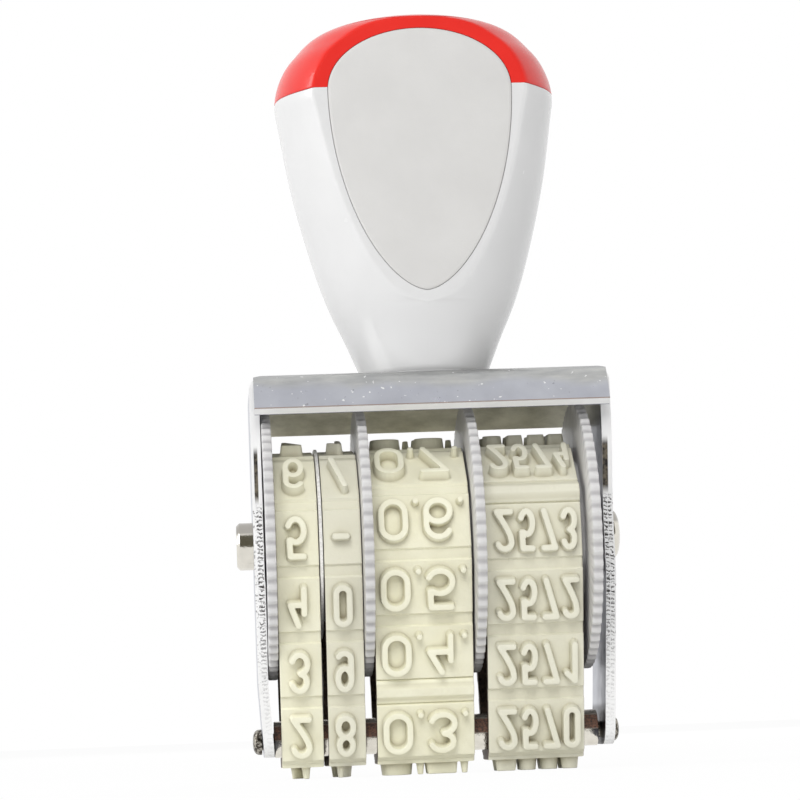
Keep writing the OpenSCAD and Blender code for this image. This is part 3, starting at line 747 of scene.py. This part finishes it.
def band(name, front, drum, back, texts, columns):
    """A padded band, with one text on each pad; columns are [left, width] of its characters."""
    path, kinds = band_path(front, drum, back)
    n, w, x0 = len(path), BAND_W[name], BAND_X[name]
    way = [path[(i + 1) % n] - path[i] for i in range(n)]
    way = [v / np.linalg.norm(v) for v in way]
    reach = []  # how far each corner's rounding reaches
    for i in range(n):
        if kinds[i] != PITCH or kinds[i - 1] != PITCH:
            reach.append(0.3)
        else:
            reach.append(0.9 if i in (0, n - 1) else 0.6)
    inner_x = np.linspace(EDGE, w - EDGE, round((w - 2 * EDGE) / CELL) + 1)
    xs = np.concatenate([[0, 0.05], inner_x, [w - 0.05, w]])
    rows, heights, hollows, owner, texts = [], [], [], [], iter(texts)
    for i in range(n):
        half = kinds[i] / 2
        x, u = np.meshgrid(xs, rows_of(kinds[i]))
        side = np.minimum(x, w - x)
        rim = -EDGE_DROP * (1 - np.clip(side / EDGE, 0, 1)) ** 2
        if kinds[i] == PITCH:
            t = CROWN - GROOVE_D + GROOVE_D * ease((PAD_HALF - np.abs(u)) / 0.16 + 0.4)
            for end, beside in ((-1, kinds[i - 1]), (1, kinds[(i + 1) % n])):
                if beside != PITCH:
                    from_bar = SPLICE_LEN / 2 + half - end * u
                    t = np.where(end * u > BAR_FROM, splice_rise(from_bar), t)
            x, u, lift, hollow = raised(x, u, side, strokes(next(texts), columns))
            t = t + rim + lift
        else:
            wave = np.sin(x * 5.1 + 3 * np.sin(x * 1.7)) * np.exp(-(u / 0.2) ** 2)
            t = splice_rise(np.abs(u)) + rim + RIPPLE * wave * (side > 0.2) - RIPPLE
            hollow = np.zeros_like(t)
        y, z, ty, tz = along(path, way, reach, i, u, half)
        y, z = y - tz * t, z + ty * t
        x = x + WANDER.get(name, 0) * ease(y / 2) * ease((12 - z) / 5)
        rows += [np.column_stack([x0 + x[k], y[k], z[k]]) for k in range(len(x))]
        heights += list(t)
        hollows += list(hollow)
        owner += [i] * len(x)
    verts, count = np.concatenate(rows), len(rows)
    ids = np.arange(len(verts)).reshape(count, len(xs))
    nxt = np.roll(ids, -1, 0)
    a, b, c, d = (k.ravel() for k in (ids[:, :-1], ids[:, 1:], nxt[:, 1:], nxt[:, :-1]))

    def gap(p, q):
        return np.linalg.norm(verts[p] - verts[q], axis=1)

    short = gap(a, c) <= gap(b, d)
    tris = np.concatenate([
        np.column_stack([a, b, c])[short], np.column_stack([a, c, d])[short],
        np.column_stack([a, b, d])[~short], np.column_stack([b, c, d])[~short],
    ])
    mitre = []  # corners of the plain inner side
    for i in range(n):
        na, nb = (np.array([-v[1], v[0]]) for v in (way[i - 1], way[i]))
        mitre.append(path[i] - INNER * (na + nb) / (1 + na @ nb))
    inner = np.array([[x0 + x, *p] for p in mitre for x in (0, w)])
    faces = [tuple(f) for f in tris]
    owner = np.array(owner)
    for i in range(n):
        mine = list(np.nonzero(owner == i)[0])
        line = mine + [(mine[-1] + 1) % count]
        p, q = len(verts) + 2 * i, len(verts) + 2 * ((i + 1) % n)
        faces.append((p, p + 1, q + 1, q)[::-1])
        faces.append(tuple(int(ids[k, 0]) for k in line) + (q, p))
        faces.append((tuple(int(ids[k, -1]) for k in line) + (q + 1, p + 1))[::-1])
    mesh = rework(mesh_of(name, np.concatenate([verts, inner]), faces), outward)
    low = CROWN - GROOVE_D
    rise = (np.concatenate(heights) - low) / (CROWN + RELIEF - low)
    # rise, hollow and side are read by the rubber for its painted shade; side also for the soil on
    # the band's sides
    mark(mesh, "rise", np.concatenate([rise, np.full(len(inner), 0.3)]))
    mark(mesh, "hollow", np.concatenate(hollows + [np.zeros(len(inner))]))
    at_side = np.minimum(verts[:, 0] - x0, x0 + w - verts[:, 0]) < 0.001
    mark(mesh, "side", np.concatenate([at_side, np.ones(len(inner))]))
    piece(name + "_rubber", mesh, RUBBER, name, angle=38)


P, S = PITCH, SPLICE_LEN
band("band_day_tens", [P] * 3, [P] * 5, [P] * 3 + [S], "234567890-/1", [(1.02, 2.3)])
band("band_day_units", [P] * 3, [P] * 5, [S] + [P] * 3, "890-/1234567", [(0.85, 2.05)])
band("band_month", [P, S, P, P], [P] * 5, [P] * 3,
     [f"{m // 10}.{m % 10}." for m in (*range(3, 13), 1, 2)],
     [(0.65, 3.2), (4.35, 0.8), (5.55, 3.2), (9.25, 0.8)])
band("band_year", [P] * 3, [P, S, P, P, P, P], [P] * 3,
     [str(y) for y in (*range(2570, 2581), 2569)],
     [(0.97, 2.1), (3.57, 1.85), (5.97, 1.85), (8.17, 1.85)])


# ---- wheels
NOTCH_D, FACE_DROP, DRUM_EDGE = 0.32, 0.12, 0.12


def wheel(name, end):
    """A scalloped rim, its drum on one side as far as end, and the bore."""
    n = NOTCHES * 12
    a = np.arange(n) * 2 * pi / n
    wave = 0.5 + 0.5 * np.cos(NOTCHES * a)
    rim = WHEEL_R - 0.015 - NOTCH_D * (1 - wave) ** 0.8
    step = 2 * pi / SIDES
    fold = np.abs((a + pi) % step - step / 2)
    drum = np.minimum(DRUM_R, 0.965 * DRUM_R / np.cos(step / 2 - fold))
    near, seat = WHEEL_X[name], WHEEL_X[name] + RIM_T
    if end < near:
        near, seat = seat, near
    s = 1 if seat > near else -1
    rings = [
        at_x(np.column_stack([r * np.cos(a), AXLE_Z + r * np.sin(a)]), x) for r, x in (
            (BORE_R, near), (3.9, near), (4.1, near + FACE_DROP * s),
            (12.6, near + FACE_DROP * s), (12.9, near),
            (rim - 0.16, near), (rim - 0.05, near + 0.05 * s), (rim, near + 0.2 * s),
            (rim, seat - 0.2 * s), (rim - 0.05, seat - 0.05 * s), (rim - 0.16, seat),
            (drum + 0.1, seat), (drum, seat + 0.1 * s),
            (drum, end - DRUM_EDGE * s), (drum - DRUM_EDGE, end), (BORE_R, end),
        )
    ]
    mesh = closed_up(mesh_of(name, *loft(rings, cyclic=True)))
    points = np.array([v.co for v in mesh.vertices]) / MM - [0, 0, AXLE_Z]
    around = np.arctan2(points[:, 2], points[:, 1])
    outer = np.hypot(points[:, 1], points[:, 2]) > WHEEL_R - 0.6
    # how deep each point lies in a notch, for the rim's painted notch shade
    mark(mesh, "painted_notch_shade", np.where(outer, 0.5 - 0.5 * np.cos(NOTCHES * around), 0))
    body = name.removeprefix("wheel_") + "_wheel"
    piece(name + "_moulding", mesh, WHEEL, name, body, 40)


wheel("wheel_day_tens", -13.025)
wheel("wheel_day_units", -12.475)
wheel("wheel_month", -7.125)
wheel("wheel_year", 4.975)


# ---- turned pieces
STUB, SHOULDER, RIVET = -HALF_W - 1.85, INNER_W / 2 - 0.02, HALF_W + 0.02
AXLE_R, SHANK_R, RIVET_R, CHAMFER = 2.65, 2.0, 2.8, 0.35
ROD_R, ROD_HEAD_R = 0.9, 1.4

axle_profile = (
    [(0, STUB), (AXLE_R - CHAMFER, STUB), (AXLE_R, STUB + CHAMFER), (AXLE_R, SHOULDER),
     (SHANK_R, SHOULDER), (SHANK_R, RIVET), (RIVET_R, RIVET)]
    + dome(RIVET_R, 1.28, 0.2, RIVET)
)
turned("axle_turned", "axle", axle_profile, AXLE_Z, AXLE, 0.06, 72)
rod_left = -leg_face(LEFT, ROD_Z + ROD_HEAD_R) - 0.02
rod_right = leg_face(RIGHT, ROD_Z + ROD_HEAD_R) + 0.02
rod_profile = (
    dome(ROD_HEAD_R, 1.0, 0.15, rod_left, -1)[::-1]
    + [(ROD_HEAD_R, rod_left), (ROD_R, rod_left), (ROD_R, rod_right), (ROD_HEAD_R, rod_right)]
    + dome(ROD_HEAD_R, 1.0, 0.15, rod_right)
)
turned("platen_rod_turned", "platen_rod", rod_profile, ROD_Z, HEAD, 0.05, 48)


def ring_piece(name, node, x, width, outer, material):
    profile = [(BORE_R, x), (outer, x), (outer, x + width), (BORE_R, x + width)]
    turned(name, node, profile, AXLE_Z, material, 0.08, 96)


ring_piece("divider_sheet", "divider_disc", -12.925, 0.35, 10.6, DIVIDER)
ring_piece("spacer_moulding", "spacer_ring", 17.475, 0.9, 4.15, WHEEL)


# ---- platen
def platen():
    half, top, low_r, top_r = PLATEN_D / 2, PLATEN_Z + PLATEN_H, 1.6, 1.9
    corners = ((half - low_r, PLATEN_Z + low_r, low_r, -90), (half - top_r, top - top_r, top_r, 0),
               (top_r - half, top - top_r, top_r, 90), (low_r - half, PLATEN_Z + low_r, low_r, 180))
    outline = np.array([p for y, z, r, a in corners for p in arc(y, z, r, r, a, a + 90)])
    left = SHEET + 0.05 - leg_face(LEFT, PLATEN_Z)
    right = leg_face(RIGHT, PLATEN_Z) - SHEET - 0.35
    mesh = closed_up(mesh_of("platen", *slab(outline, left, right, 0.12, at_x)))
    piece("platen_bar_polished", mesh, PLATEN, "platen_bar")


platen()


# ---- handle
def bulb_curve():
    """The bulb's side, as [radius, height above the top plate], through shares of both."""
    shares = [(0, 0), (0.2, 0.104), (0.43, 0.217), (0.64, 0.361), (0.83, 0.53), (0.955, 0.69),
              (1, 0.765), (0.93, 0.83), (0.77, 0.885), (0.43, 0.947)]
    pts = [(NECK_R + (HANDLE_R - NECK_R) * s, h) for s, h in shares]
    pts = np.array([(r, HANDLE_H * h) for r, h in pts + [(NECK_R * 0.62, 0.988), (0, 1)]])
    line = []
    for i in range(len(pts) - 1):
        a, b, c, d = pts[max(i - 1, 0)], pts[i], pts[i + 1], pts[min(i + 2, len(pts) - 1)]
        for t in np.linspace(0, 1, 24, endpoint=False):
            line.append(0.5 * (2 * b + (c - a) * t + (2 * a - 5 * b + 4 * c - d) * t * t
                               + (3 * b - a - 3 * c + d) * t ** 3))
    return np.array(line + [pts[-1]])


BULB = bulb_curve()
FACET_SOFT = 0.35  # how gently the facets' edges turn
BULB_ANGLE = 30


def facet(h):
    """Distance of the flat front and back from the middle; they spread a little to the top."""
    return 10.4 + 0.0133 * (h - 23)


def bulb_ring(r, h):
    """One level of the bulb: a circle whose front and back are pressed flat."""
    limit = facet(h)
    edge = asin(limit / r) if r > limit else pi / 2 - 0.001
    spread = min(0.09, (pi / 2 - edge) * 0.6, edge * 0.5)
    stops = ((0, edge - spread, 28), (edge - spread, edge + spread, 9),
             (edge + spread, pi / 2, 14))
    quarter = np.concatenate([np.linspace(a, b, n, endpoint=False) for a, b, n in stops])
    t = np.concatenate([quarter, [pi / 2], pi - quarter[:0:-1]])
    t = np.concatenate([t, t + pi])
    x, y = r * np.cos(t), r * np.sin(t)
    over = np.abs(y) - limit
    pressed = limit - FACET_SOFT * np.logaddexp(0, -over / FACET_SOFT * 4) / 4
    y = np.where(np.abs(over) < 6 * FACET_SOFT, np.sign(y) * pressed, np.clip(y, -limit, limit))
    sag = (0.15 - 0.5 * ease(np.abs(y) / limit)) * exp(-((h - SEAM_H) / 4) ** 2) \
        * float(ease((HANDLE_H - 0.4 - h) / 4))
    return np.column_stack([x, y, TOP_Z + h + sag])


def bulb_part(low, high, foot, head=0.0):
    """Levels of the bulb from one height to another, with a small round at the cut ends."""
    def radius(h):
        return float(np.interp(h, BULB[:, 1], BULB[:, 0]))

    keep = BULB[(BULB[:, 1] > low + 0.4) & (BULB[:, 1] < high - 0.4)]
    levels = [(radius(low) - d, low + e) for d, e in rounding(foot, 4)]
    levels += [(float(r), float(h)) for r, h in keep[::2]]
    if head:
        return levels + [(radius(high) - d, high - e) for d, e in rounding(head, 4)[::-1]]
    tail = BULB[BULB[:, 1] > levels[-1][1] + 0.01]
    return levels + [(max(float(r), 0.02), float(h)) for r, h in tail]


def plate_outline(grow):
    """The shield outline, as [x, z]."""
    n, hw, up, down = 48, 10.2 + grow, 6.8 + grow, 22.6 + grow

    def low(t):
        return hw * max(1 - t ** 1.95, 0) ** 0.6

    points = [(hw * cos(k * pi / n), up * sin(k * pi / n))
              for k in range(n + 1)]
    lower = [sin(k * pi / 2 / n) for k in range(1, n + 1)]
    points += [(-low(t), -down * t) for t in lower]
    points += [(low(t), -down * t) for t in lower[-2::-1]]
    return np.array(points) + np.array([0, TOP_Z + PLATE_MID])


def plate_form(name, steps):
    """The shield through steps of growth and of depth behind the front facet."""
    rings = []
    for grow, depth in steps:
        outline = plate_outline(grow)
        rings.append(at_y(outline, depth - facet(outline[:, 1] - TOP_Z)))
    return closed_up(mesh_of(name, *loft(rings)))


def cut(obj, cutter_mesh, how="DIFFERENCE"):
    """Applies one exact boolean to an object's mesh."""
    tool = placed("cutter", cutter_mesh)
    modifier = obj.modifiers.new("cut", "BOOLEAN")
    modifier.operation, modifier.solver, modifier.object = how, "EXACT", tool
    graph = bpy.context.evaluated_depsgraph_get()
    result = bpy.data.meshes.new_from_object(obj.evaluated_get(graph))
    obj.modifiers.clear()
    old, obj.data = obj.data, result
    bpy.data.meshes.remove(old)
    bpy.data.objects.remove(tool)


def bulb_piece(name, levels, material, node):
    mesh = closed_up(mesh_of(name, *loft([bulb_ring(r, h) for r, h in levels])))
    obj = piece(name, mesh, material, node, angle=BULB_ANGLE)
    cut(obj, plate_form("recess", ((0.1, -0.5), (0.06, -0.02), (0.03, 0.06), (0.03, 1.0))))
    dress(obj.data, material, BULB_ANGLE)


bulb_piece("handle_bulb", bulb_part(0.0, SEAM_H, 0.25, 0.12), WHITE, "handle_body")
bulb_piece("handle_crown", bulb_part(SEAM_H + 0.02, HANDLE_H, 0.12), RED, "handle_cap")
piece("front_plate_face",
      plate_form("plate", ((-0.34, -0.1), (-0.16, -0.08), (-0.04, 0.0), (0.0, 0.12), (0.0, 0.96))),
      PLATE, "front_plate")


# ---- frame
PAST = HALF_W + 1  # beyond the outside of both legs
LEG_ROUND = 2.0  # radius of a foot's corners


def prism(outline, lo, hi, place):
    outline = np.array(outline)
    return closed_up(mesh_of("prism", *loft([place(outline, lo), place(outline, hi)])))


def hole(r, x0, x1, z):
    """A cutter for a round hole along X."""
    t = np.linspace(0, 2 * pi, 64, endpoint=False)
    return prism(np.column_stack([r * np.cos(t), z + r * np.sin(t)]), x0, x1, at_x)


def turn_points(centre, r, a0, a1):
    """A bend's points about its centre."""
    return [centre + r * np.array([cos(a), sin(a)]) for a in np.linspace(a0, a1, 13)]


def lip_outline(way, tilt):
    """A lip that splays down from an edge of the top plate, as [y, z]; way is -1 at the front."""
    tilt = radians(tilt)
    centre = np.array([LIP_START, TOP_Z - OUT_R])
    reach = LIP_LEN * np.array([sin(tilt), -cos(tilt)])
    inner, outer = (turn_points(centre, r, pi / 2, tilt) for r in (BEND, OUT_R))
    start = LEG_TOP / 2 - 0.01
    points = [np.array([start, TOP_Z - SHEET])] + inner + [inner[-1] + reach, outer[-1] + reach] \
        + outer[::-1] + [np.array([start, TOP_Z])]
    return points if way > 0 else [[-p[0], p[1]] for p in points[::-1]]


def leg_line(leg, offset, r):
    """One side of a leg and its bend into the top plate, from the foot up, as [x, z]."""
    centre = np.array([HALF_W - BEND - SHEET, TOP_Z - BEND - SHEET])
    line = [(leg_face(leg, FOOT_Z) - offset, FOOT_Z), (HALF_W - offset, leg[0])]
    return line + [tuple(p) for p in turn_points(centre, r, 0, pi / 2)]


def leg_side():
    """A leg's front and back edges, as [y, z]: slim, with a wide top and round feet."""
    slim, wide = LEG_LOW / 2, LEG_TOP / 2
    low, high = AXLE_Z + 1, TOP_Z - 5.5
    y, z = slim - LEG_ROUND, FOOT_Z + LEG_ROUND
    toe = [(y + LEG_ROUND * sin(a), z - LEG_ROUND * cos(a))
           for a in np.linspace(0, pi / 2, 9)]
    swell = [(slim + (wide - slim) * float(ease(k / 16)), low + (high - low) * k / 16)
             for k in range(17)]
    edge = toe + swell + [(wide, TOP_Z + 1)]
    return edge + [(-y, z) for y, z in edge[::-1]]


def mark_frame(mesh):
    """Tells the frame's cut edges, the legs' insides and the back lip's underside apart; the legs'
    insides get painted shade, the underside a painted reflection.
    """
    where = np.array([p.center for p in mesh.polygons]) / MM
    facing = np.array([p.normal for p in mesh.polygons])
    x, y, z = np.abs(where[:, 0]), np.abs(where[:, 1]), where[:, 2]
    leg_edge = (np.abs(facing[:, 0]) < 0.4) & (x > 15) & (y < 7.5)
    leg_edge &= (np.abs(facing[:, 1]) > 0.6) | (z < FOOT_Z + 2.5)
    lip_edge = (y > 8) & (facing[:, 2] < -0.7)
    inside = (facing[:, 0] * np.sign(where[:, 0]) < -0.9) & (x > 15)
    # the back lip's inner face, which gets a painted reflection
    painted_reflection_faces = (where[:, 1] > 7.7) & (facing[:, 1] < -0.5) & (z > AXLE_Z + 8)
    mark(mesh, "cut", leg_edge | lip_edge, "FACE")
    mark(mesh, "inside", inside, "FACE")
    mark(mesh, "painted_reflection_faces", painted_reflection_faces, "FACE")


def sheet_frame():
    """The folded sheet: two lips, then the legs and top plate, then the holes."""
    obj = placed("frame_sheet", prism(lip_outline(-1, LIP_TILT), -22, 22, at_x))
    cut(obj, prism(lip_outline(1, BACK_TILT), -22, 22, at_x), "UNION")
    corner = LIP_END - 0.9
    ends = [(-LIP_END, AXLE_Z), (LIP_END, AXLE_Z), (LIP_END, TOP_Z - 0.25), (corner, TOP_Z),
            (corner, TOP_Z + 1), (-corner, TOP_Z + 1), (-corner, TOP_Z), (-LIP_END, TOP_Z - 0.25)]
    cut(obj, prism(ends, -20, 20, at_y), "INTERSECT")

    outside = [leg_line(leg, 0, OUT_R) for leg in (RIGHT, LEFT)]
    within = [leg_line(leg, SHEET, BEND) for leg in (RIGHT, LEFT)]
    outline = outside[0] + [(-x, z) for x, z in outside[1][::-1]] \
        + [(-x, z) for x, z in within[1]] + within[0][::-1]
    legs = placed("legs", prism(outline, -8.4, 8.4, at_y))
    cut(legs, prism(leg_side(), -PAST, PAST, at_x), "INTERSECT")
    cut(obj, legs.data.copy(), "UNION")
    bpy.data.objects.remove(legs)
    for r, x0, x1, z in ((AXLE_R + 0.02, -PAST, 0, AXLE_Z), (SHANK_R + 0.02, 0, PAST, AXLE_Z),
                         (ROD_R + 0.02, -PAST, PAST, ROD_Z)):
        cut(obj, hole(r, x0, x1, z))
    mesh = obj.data
    bpy.data.objects.remove(obj)
    rework(mesh, weld(0.002), lambda bm: bmesh.ops.dissolve_limit(
        bm, angle_limit=radians(0.6), verts=bm.verts, edges=bm.edges))
    mark_frame(mesh)
    obj = piece("frame_pressing", mesh, STEEL, "frame")
    modifier = obj.modifiers.new("edges", "BEVEL")
    modifier.width, modifier.segments = 0.13 * MM, 2
    modifier.limit_method, modifier.angle_limit = "ANGLE", radians(40)


sheet_frame()

for node, material in (("handle_screw", BRIGHT), ("screw_washer", DULL), ("spring_washer", DULL)):
    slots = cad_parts[node].data.materials
    if not slots:
        slots.append(material)
    for k in range(len(slots)):
        slots[k] = material


# ---- studio
def stage_quad(name, corners, look):
    mesh = bpy.data.meshes.new(name)
    mesh.from_pydata(corners, [], [(0, 1, 2, 3)])
    mesh.materials.append(look.material)
    obj = placed(name, mesh)
    return obj


def white_behind(tree, lit, target, share):
    """Shows white to camera, glossy and transmission rays, over what lights the object."""
    def add(kind, how, *sources):
        node = tree.nodes.new("ShaderNode" + kind)
        if how:
            node.operation = how
        for source, socket in zip(sources, node.inputs):
            feed(tree, source, socket)
        return node.outputs

    path = add("LightPath", None)
    either = add("Math", "MAXIMUM", path["Is Camera Ray"], path["Is Glossy Ray"])
    most = add("Math", "MAXIMUM", either[0], path["Is Transmission Ray"])
    part = add("Math", "MULTIPLY", most[0], share)
    white = add("Emission", None)
    tree.links.new(add("MixShader", None, part[0], lit, white[0])[0], target)


FLOOR, CARD_X, CARD_Y, CARD_LOW, CARD_TOP = 3, 0.3, -0.34, 0.002, 0.5
paper = Look("studio_paper", Roughness=0.9)
paper.color(paper.tones(paper.noise(60, 2), (247, 247, 247), (250, 250, 250)))
white_behind(paper.tree, paper.shader.outputs[0],
             paper.tree.nodes["Material Output"].inputs["Surface"], 0.95)
stage_quad("floor", [(-FLOOR, -FLOOR, 0), (FLOOR, -FLOOR, 0), (FLOOR, FLOOR, 0),
                     (-FLOOR, FLOOR, 0)], paper)

# A dark card in front, seen only in the polished metal.
card = Look("studio_card", Base_Color=(0, 0, 0, 1), Specular_IOR_Level=0.0,
            Emission_Color=(0.125, 0.118, 0.09, 1), Emission_Strength=1.0)
flag = stage_quad("card", [(-CARD_X, CARD_Y, CARD_LOW), (CARD_X, CARD_Y, CARD_LOW),
                           (CARD_X, CARD_Y, CARD_TOP), (-CARD_X, CARD_Y, CARD_TOP)], card)
flag.visible_camera = flag.visible_diffuse = flag.visible_shadow = False
flag.visible_transmission = False

world = bpy.data.worlds.new("studio_world")
scene.world = world
world.use_nodes = True
nodes = world.node_tree.nodes
fill = nodes["Background"]
fill.inputs["Color"].default_value = (1, 1, 1, 1)
fill.inputs["Strength"].default_value = 0.42
white_behind(world.node_tree, fill.outputs[0], nodes["World Output"].inputs["Surface"], 1.0)

LAMP_SIZE = 0.4


def lamp(name, place, aim_z, power, glossy=True):
    """A square area lamp aimed at a height on the stamp's middle."""
    light = bpy.data.lights.new(name, "AREA")
    light.shape, light.size, light.energy = "SQUARE", LAMP_SIZE, power
    obj = placed(name, light)
    obj.location = place
    aim = Vector((0, 0, aim_z)) - Vector(place)
    obj.rotation_euler = aim.to_track_quat("-Z", "Y").to_euler()
    obj.visible_glossy = glossy


lamp("front", (-0.12, -0.68, 0.46), 0.03, 3.6, False)
lamp("left", (-0.75, -0.05, 0.35), 0.06, 2.6)
lamp("back", (0.25, 0.72, 0.36), 0.04, 2.4, False)

# ---- camera, fitted to the photograph
TILT, SWING, ROLL = -0.122, -0.069, -0.040
CAMERA_AT = Vector((3.479, 15.777, 303.56))
FOCAL_PX, IMAGE_PX, SENSOR = 2700.0, 800, 36
base = Matrix(((1, 0, 0), (0, 0, -1), (0, 1, 0)))
turn = Matrix.Rotation(ROLL, 3, "Z") @ Matrix.Rotation(TILT, 3, "X") \
    @ Matrix.Rotation(SWING, 3, "Y") @ base
camera = bpy.data.cameras.new("camera")
camera.sensor_width, camera.lens = SENSOR, FOCAL_PX / IMAGE_PX * SENSOR
camera.clip_start, camera.clip_end = 0.01, 20
holder = placed("camera", camera)
spot = -(turn.transposed() @ CAMERA_AT) + Vector((0, 0, AXLE_Z))
facing = turn.transposed() @ Matrix(((1, 0, 0), (0, -1, 0), (0, 0, -1)))
holder.matrix_world = Matrix.Translation(spot * MM) @ facing.to_4x4()
scene.camera = holder

scene.view_settings.view_transform = "Standard"
